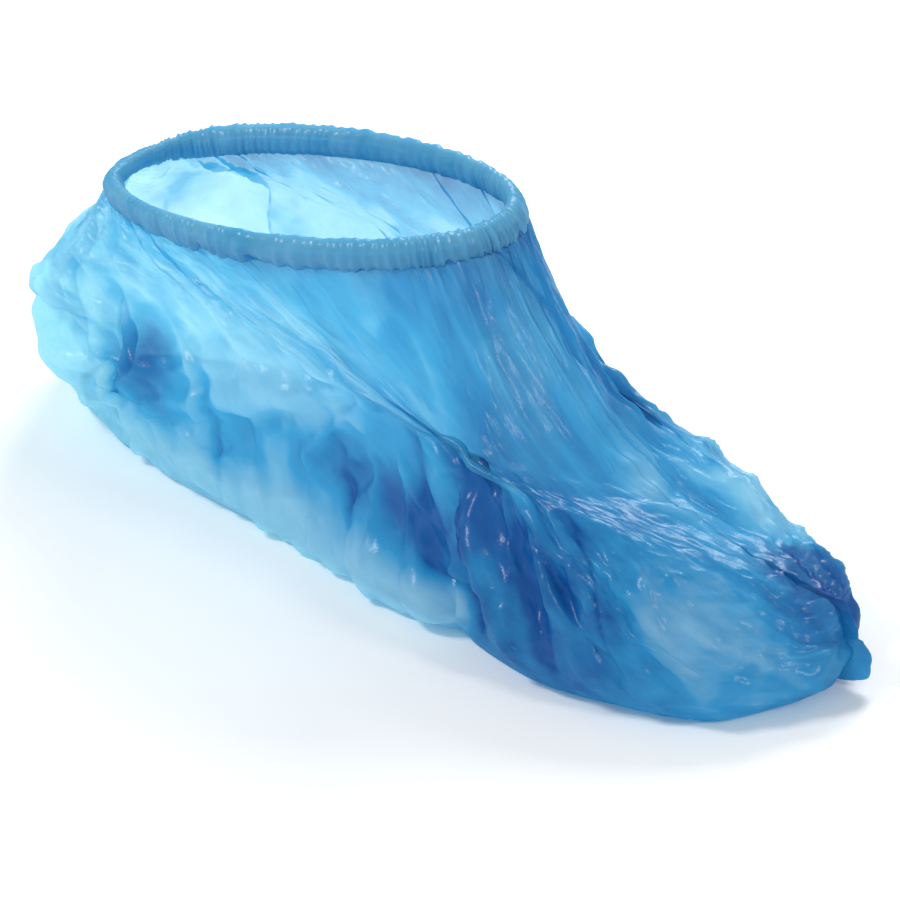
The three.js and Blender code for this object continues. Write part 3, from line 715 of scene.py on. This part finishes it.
def applied(piece):
    mesh = bpy.data.meshes.new_from_object(piece.evaluated_get(bpy.context.evaluated_depsgraph_get()))
    piece.modifiers.clear()
    old = piece.data
    piece.data = mesh
    mesh.name = piece.name
    bpy.data.meshes.remove(old)
    return piece


def recalculate(piece):
    work = bmesh.new()
    work.from_mesh(piece.data)
    bmesh.ops.recalc_face_normals(work, faces=work.faces)
    work.to_mesh(piece.data)
    work.free()


def makeHem():
    s = hemSizes
    share, centre, out, up = rimFrames(s["columns"])
    bend = np.sin(2 * pi * 7 * share) + 0.6 * np.sin(2 * pi * 17 * share + 2)
    fine = 0.6 - np.abs(np.sin(pi * s["gathers"] * share + 1.3 * bend))
    wave = s["pleat"] * pleats(share, np.full_like(share, 2.0))
    wave = wave + s["uneven"] * smoothNoise(share, share * 0, seed=31, waves=40) + s["gather"] * fine
    wave = s["mostWave"] * np.tanh(wave / s["mostWave"])  # keeps clear of the elastic
    rows = []
    for k in range(s["around"]):  # flat tube of film
        a = 2 * pi * k / s["around"]
        side = s["halfGap"] * sin(a) * 1.25
        high = (s["above"] + s["below"]) / 2 * cos(a) + (s["above"] - s["below"]) / 2
        ripple = 0.45 + 0.95 * (1 - cos(a)) / 2
        outward = out * (side + wave * ripple)[:, None]
        rows.append(centre + outward + up * (high * (1 + 0.12 * wave))[:, None])
    grid = np.stack(rows, 0)
    count, columns = grid.shape[:2]
    last = (count - 1) * columns
    faces = gridFaces(count, columns)
    faces += [(last + c, c, (c + 1) % columns, last + (c + 1) % columns) for c in range(columns)]
    piece = meshObject("gathered_hem", toFrame(grid).reshape(-1, 3), faces)
    recalculate(piece)
    return piece


def ringTree():  # round cord swept along a closed path
    tree = bpy.data.node_groups.new("elastic ring", "GeometryNodeTree")
    face = tree.interface
    face.new_socket("Path", in_out="INPUT", socket_type="NodeSocketGeometry")
    sockets = {}
    for label, kind in (("Radius", "Float"), ("Spacing", "Float"), ("Sides", "Int"), ("Finish", "Material")):
        made = face.new_socket(label, in_out="INPUT", socket_type="NodeSocket" + kind)
        sockets[label] = made.identifier
    face.new_socket("Ring", in_out="OUTPUT", socket_type="NodeSocketGeometry")
    nodes, links = tree.nodes, tree.links
    given = nodes.new("NodeGroupInput")
    path = nodes.new("GeometryNodeMeshToCurve")
    even = nodes.new("GeometryNodeResampleCurve")
    even.mode = "LENGTH"
    profile = nodes.new("GeometryNodeCurvePrimitiveCircle")
    sweep = nodes.new("GeometryNodeCurveToMesh")
    soft = nodes.new("GeometryNodeSetShadeSmooth")
    real = nodes.new("GeometryNodeRealizeInstances")
    finish = nodes.new("GeometryNodeSetMaterial")
    result = nodes.new("NodeGroupOutput")
    links.new(given.outputs["Path"], path.inputs["Mesh"])
    links.new(path.outputs["Curve"], even.inputs["Curve"])
    links.new(given.outputs["Spacing"], even.inputs["Length"])
    links.new(given.outputs["Sides"], profile.inputs["Resolution"])
    links.new(given.outputs["Radius"], profile.inputs["Radius"])
    links.new(even.outputs["Curve"], sweep.inputs["Curve"])
    links.new(profile.outputs["Curve"], sweep.inputs["Profile Curve"])
    links.new(sweep.outputs["Mesh"], soft.inputs["Geometry"])
    links.new(soft.outputs["Geometry"], real.inputs["Geometry"])
    links.new(real.outputs["Geometry"], finish.inputs["Geometry"])
    links.new(given.outputs["Finish"], finish.inputs["Material"])
    links.new(finish.outputs["Geometry"], result.inputs["Ring"])
    return tree, sockets


bandLook = dict(colour=(0.84, 0.87, 0.90), shade=0.8, roughness=0.7, wraps=900.0, uneven=2.0, relief=0.0003)


def bandMaterial():
    material = bpy.data.materials.new("covered elastic")
    material.use_nodes = True
    nodes, links = material.node_tree.nodes, material.node_tree.links
    shader = nodes["Principled BSDF"]
    shader.inputs["Roughness"].default_value = bandLook["roughness"]
    where = nodes.new("ShaderNodeTexCoord")
    wrap = nodes.new("ShaderNodeTexWave")
    wrap.inputs["Scale"].default_value = bandLook["wraps"]
    wrap.inputs["Distortion"].default_value = bandLook["uneven"]
    links.new(where.outputs["Object"], wrap.inputs["Vector"])
    tint = nodes.new("ShaderNodeValToRGB")
    tint.color_ramp.elements[0].color = (*[bandLook["shade"] * v for v in bandLook["colour"]], 1)
    tint.color_ramp.elements[1].color = (*bandLook["colour"], 1)
    links.new(wrap.outputs["Fac"], tint.inputs["Fac"])
    links.new(tint.outputs[0], shader.inputs["Base Color"])
    bump = nodes.new("ShaderNodeBump")
    bump.inputs["Distance"].default_value = bandLook["relief"]
    links.new(wrap.outputs["Fac"], bump.inputs["Height"])
    links.new(bump.outputs[0], shader.inputs["Normal"])
    return material


def makeBand(material):
    s = bandSizes
    _, centre, _, up = rimFrames(s["columns"])
    path = toFrame(centre + up * s["height"])
    mesh = bpy.data.meshes.new("elastic_ring")
    edges = [(k, (k + 1) % len(path)) for k in range(len(path))]
    mesh.from_pydata([tuple(p) for p in path], edges, [])
    piece = bpy.data.objects.new("elastic_ring", mesh)
    scene.collection.objects.link(piece)
    tree, sockets = ringTree()
    sweep = piece.modifiers.new("elastic ring", "NODES")
    sweep.node_group = tree
    values = dict(Radius=s["radius"] * mm, Spacing=s["spacing"] * mm, Sides=s["around"], Finish=material)
    for label, value in values.items():
        sweep[sockets[label]] = value
    applied(piece)
    recalculate(piece)
    return piece


hem = makeHem()
band = makeBand(bandMaterial())
print("hem and band made")

# end welds: a thin pressed strip of two layers, standing out of the film at toe and heel
weldSizes = dict(reach=4.3, earReach=3.0, inset=0.8, topShare=0.62, rows=150, across=9, thick=0.16,
                 sway=1.1, ragged=0.16, crimp=0.10, crimpRate=620)
# the tones follow the film beside each weld; near its top the toe weld takes the deeper tone of the toe
# bunch, partly painted shade
weldTones = dict(toe=(0.50, 0.62, 0.92, 0.70), heel=(0.16, 0.14, 0.24, 0.34))  # from the floor to the top


def makeWeld(name, seam, seed, tones):
    s = weldSizes
    ups = np.linspace(0.012, s["topShare"], s["rows"])
    column = int(round(seam * filmShare.shape[1])) % filmShare.shape[1]
    path = np.stack([np.interp(ups, filmUp[:, 0], filmPoints[:, column, k]) for k in range(3)], -1)
    nx, ny = outwardAt(np.array([seam]))
    out = np.array([nx[0], ny[0], 0.0])
    side = np.array([-ny[0], nx[0], 0.0])
    rng = np.random.default_rng(seed)
    reach = s["reach"] + s["earReach"] * smooth(0.2, 0.03, ups)
    reach *= smooth(s["topShare"], s["topShare"] - 0.2, ups)
    reach *= (0.5 + 0.5 * smooth(0, 0.05, ups))
    ragged = sum(np.sin(ups * rate + rng.random() * 6) for rate in (23, 41, 67, 103)) / 4
    reach *= 1 + s["ragged"] * ragged
    sway = s["sway"] * sum(np.sin(ups * rate + rng.random() * 6) for rate in (19, 34, 71)) / 3
    rows = []
    for k in range(s["across"]):
        f = k / (s["across"] - 1)
        crimp = s["crimp"] * np.cos(ups * s["crimpRate"]) * smooth(0.15, 0.3, f) * smooth(0.75, 0.6, f)
        outward = out * (-s["inset"] + (reach + s["inset"]) * f)[:, None]
        rows.append(path + outward + side * ((sway * f * f) + crimp)[:, None])
    grid = np.stack(rows, 0)
    faces = gridFaces(grid.shape[0], grid.shape[1], closed=False)
    piece = meshObject(name, toFrame(grid).reshape(-1, 3), faces)
    tone = piece.data.attributes.new("filmTone", "FLOAT", "POINT")
    upward = np.interp(ups, [0.0, 0.14, 0.34, s["topShare"]], tones)
    tone.data.foreach_set("value", np.tile(upward, s["across"]))
    wall = piece.modifiers.new("Solidify", "SOLIDIFY")
    wall.thickness, wall.offset = s["thick"] * mm, 0.0
    return applied(piece)


toeWeld = makeWeld("toe_weld", seamShares[0], 5, weldTones["toe"])
heelWeld = makeWeld("heel_weld", seamShares[1], 6, weldTones["heel"])
print("welds made")


# materials
filmLook = dict(bright=(0.61, 0.95, 1.0), middle=(0.055, 0.45, 0.74), deep=(0.006, 0.10, 0.37),
                through=(0.54, 0.86, 0.96), seeThrough=0.42, clouding=0.26, glow=0.5, roughness=0.27,
                shine=0.55, crumple=0.0011, grain=0.00008, mottle=0.14)
filmRelief = dict(crumples=75.0, streaks=90.0, grains=1500.0, streakTurn=45, streakStretch=(4.5, 0.55, 1.0),
                  sharpPart=1.15, softPart=0.55, strength=0.75)


def filmMaterial(name, look, run=None, toneName=None, seeThrough=None, tone=0.3):
    material = bpy.data.materials.new(name)
    material.use_nodes = True
    nodes, links = material.node_tree.nodes, material.node_tree.links
    nodes.clear()

    def node(kind, inputs=(), **values):
        made = nodes.new(kind)
        for key, value in values.items():
            setattr(made, key, value)
        for key, value in dict(inputs).items():
            made.inputs[key].default_value = value
        return made

    def maths(operation, first, second, third=None):
        made = nodes.new("ShaderNodeMath")
        made.operation = operation
        for socket, value in zip(made.inputs, (first, second, third)):
            if value is None:
                continue
            if isinstance(value, (int, float)):
                socket.default_value = value
            else:
                links.new(value, socket)
        return made.outputs[0]

    relief = filmRelief
    where = node("ShaderNodeTexCoord")
    place = where.outputs["Object"]
    crumple = node("ShaderNodeTexNoise", {"Scale": relief["crumples"], "Detail": 2.0, "Roughness": 0.55})
    links.new(place, crumple.inputs["Vector"])
    streak = node("ShaderNodeTexNoise", {"Scale": relief["streaks"], "Detail": 1.0, "Roughness": 0.5})
    stretch = {"Rotation": (0, 0, radians(relief["streakTurn"])), "Scale": relief["streakStretch"]}
    turned = node("ShaderNodeMapping", stretch, vector_type="TEXTURE")
    if run:
        along = node("ShaderNodeAttribute", attribute_name=run)
        links.new(along.outputs["Vector"], turned.inputs["Vector"])
    else:
        links.new(place, turned.inputs["Vector"])
    links.new(turned.outputs[0], streak.inputs["Vector"])
    grain = node("ShaderNodeTexNoise", {"Scale": relief["grains"], "Detail": 0.0})
    links.new(place, grain.inputs["Vector"])
    # sharp creases: the turning lines of the two noises
    sharp = maths("ABSOLUTE", maths("SUBTRACT", streak.outputs["Fac"], 0.5), 0.0)
    soft = maths("ABSOLUTE", maths("SUBTRACT", crumple.outputs["Fac"], 0.5), 0.0)
    sharp, soft = maths("MULTIPLY", sharp, relief["sharpPart"]), maths("MULTIPLY", soft, relief["softPart"])
    height = maths("ADD", sharp, soft)
    height = maths("ADD", height, maths("MULTIPLY", grain.outputs["Fac"], look["grain"] / look["crumple"]))
    bump = node("ShaderNodeBump", {"Strength": relief["strength"], "Distance": look["crumple"]})
    links.new(height, bump.inputs["Height"])
    # colour follows the tone of the drape, with its painted light and shade, mottled by the same creases
    if toneName:
        tone = node("ShaderNodeAttribute", attribute_name=toneName).outputs["Fac"]
    uneven = maths("SUBTRACT", crumple.outputs["Fac"], streak.outputs["Fac"])
    mottle = maths("MULTIPLY_ADD", uneven, look["mottle"], tone)
    colour = node("ShaderNodeValToRGB")
    ramp = colour.color_ramp
    ramp.elements[0].position, ramp.elements[0].color = 0.02, (*look["bright"], 1)
    ramp.elements[1].position, ramp.elements[1].color = 0.98, (*look["deep"], 1)
    ramp.elements.new(0.5).color = (*look["middle"], 1)
    links.new(mottle, colour.inputs["Fac"])
    shine = {"Roughness": look["roughness"], "IOR": 1.5, "Specular IOR Level": look["shine"]}
    gloss = node("ShaderNodeBsdfPrincipled", shine)
    glow = node("ShaderNodeBsdfTranslucent")
    for shader in (gloss, glow):
        links.new(colour.outputs[0], shader.inputs["Base Color" if shader is gloss else "Color"])
        links.new(bump.outputs[0], shader.inputs["Normal"])
    clear = node("ShaderNodeBsdfTransparent", {"Color": (*look["through"], 1)})
    first = node("ShaderNodeMixShader", {0: look["glow"]})
    links.new(gloss.outputs[0], first.inputs[1])
    links.new(glow.outputs[0], first.inputs[2])
    second = node("ShaderNodeMixShader")
    clearest = look["seeThrough"] if seeThrough is None else seeThrough
    shows = maths("MULTIPLY_ADD", mottle, -look["clouding"], clearest)  # less through deeper film
    links.new(shows, second.inputs[0])
    links.new(first.outputs[0], second.inputs[1])
    links.new(clear.outputs[0], second.inputs[2])
    output = node("ShaderNodeOutputMaterial")
    links.new(second.outputs[0], output.inputs["Surface"])
    return material


filmBlue = filmMaterial("blue film", filmLook, run="filmRun", toneName="filmTone")
hemBlue = filmMaterial("blue film at the hem", filmLook, seeThrough=0.24, tone=0.40)
weldLook = dict(filmLook, crumple=0.0008)
weldBlue = filmMaterial("blue film welded", weldLook, toneName="filmTone", seeThrough=0.34)
film.data.materials.append(filmBlue)
hem.data.materials.append(hemBlue)
for weld in (toeWeld, heelWeld):
    weld.data.materials.clear()
    weld.data.materials.append(weldBlue)
print("materials made")

for piece in (film, hem, band, toeWeld, heelWeld):
    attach(piece, "root")
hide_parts("film_body")
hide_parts("hem_casing")
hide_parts("elastic_band")


# pale floor and soft studio light
stageSizes = dict(floor=3.0, floorColour=(0.9, 0.9, 0.9), floorRoughness=0.6, floorDrop=0.0004,
                  sky=(0.93, 0.96, 1.0), skyStrength=0.52, lampsAim=(0, 0, 0.04))
lampColumns = ("name", "place", "size", "power", "colour")  # metres and watts
lampRows = (
    ("key", (-0.6, -0.8, 1.2), 0.34, 12, (1, 0.99, 0.97)),
    ("back", (-0.5, 1.0, 0.9), 0.6, 14, (0.97, 0.99, 1.0)),
    ("toe", (1.1, 0.2, 0.8), 0.25, 4, (1, 1, 1)),
)


def makeStage():
    s = stageSizes
    half = s["floor"] / 2
    corners = [(-half, -half, 0), (half, -half, 0), (half, half, 0), (-half, half, 0)]
    floor = meshObject("floor", corners, [(0, 1, 2, 3)], False)
    floor.location.z = -s["floorDrop"]
    material = bpy.data.materials.new("pale floor")
    material.use_nodes = True
    shader = material.node_tree.nodes["Principled BSDF"]
    shader.inputs["Base Color"].default_value = (*s["floorColour"], 1)
    shader.inputs["Roughness"].default_value = s["floorRoughness"]
    floor.data.materials.append(material)
    world = bpy.data.worlds.new("studio") if scene.world is None else scene.world
    scene.world = world
    world.use_nodes = True
    sky = world.node_tree.nodes["Background"].inputs
    sky["Color"].default_value, sky["Strength"].default_value = (*s["sky"], 1), s["skyStrength"]
    for row in tableOf(lampColumns, lampRows):
        lamp = bpy.data.objects.new(row["name"], bpy.data.lights.new(row["name"], "AREA"))
        lamp.data.size, lamp.data.energy, lamp.data.color = row["size"], row["power"], row["colour"]
        lamp.location = row["place"]
        towards = Vector(s["lampsAim"]) - Vector(row["place"])
        lamp.rotation_euler = towards.to_track_quat("-Z", "Y").to_euler()
        scene.collection.objects.link(lamp)


makeStage()
print("stage made")
